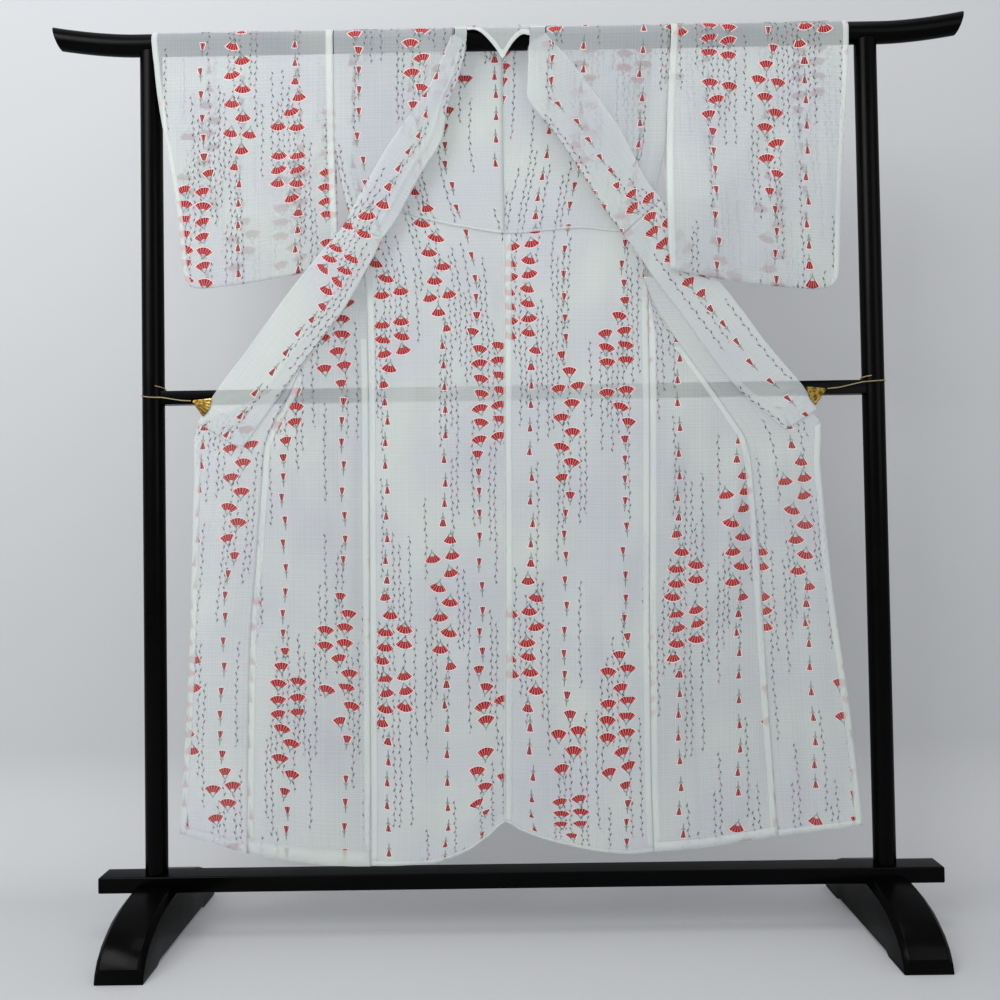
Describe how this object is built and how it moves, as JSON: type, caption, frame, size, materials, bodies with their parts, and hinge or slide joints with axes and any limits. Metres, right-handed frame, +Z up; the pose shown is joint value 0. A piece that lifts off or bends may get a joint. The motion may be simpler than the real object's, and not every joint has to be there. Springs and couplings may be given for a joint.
{
  "type": "komon kimono on a kimono rack",
  "caption": "Sheer pale summer kimono with a small fan and willow print, laid open and hung by its sleeves on a black lacquered wooden kimono rack.",
  "frame": {"origin": "centre of the rack's footprint on the floor, between the feet, below the top rail", "axes": "+Z up, +Y from the open front of the kimono to its back, +X toward the wearer's left, which is the viewer's right"},
  "size_m": [1.686, 0.4, 1.676],
  "materials": {
    "lacquer": "smooth glossy black lacquer over wood",
    "cloth": "thin sheer gauze weave, matt, pale mint white with a printed small pattern of red fans and dark willow",
    "gilt": "antique gold, ribbed",
    "twine": "thin twisted string, dull gold"
  },
  "bodies": {
    "root": {"rail_top": "lacquer", "post_right": "lacquer", "post_left": "lacquer", "rail_middle": "lacquer", "beam_bottom": "lacquer", "foot_right": "lacquer", "foot_left": "lacquer", "back_right": "cloth", "back_left": "cloth", "yoke_right": "cloth", "yoke_left": "cloth", "front_right": "cloth", "front_left": "cloth", "okumi_right": "cloth", "okumi_left": "cloth", "overcollar_neck": "cloth", "overcollar_right": "cloth", "overcollar_left": "cloth", "collar_right": "cloth", "collar_left": "cloth", "sleeve_right": "cloth", "sleeve_left": "cloth", "clip_right": "gilt", "clip_left": "gilt", "string_right": "twine", "string_left": "twine"}
  },
  "joints": []
}
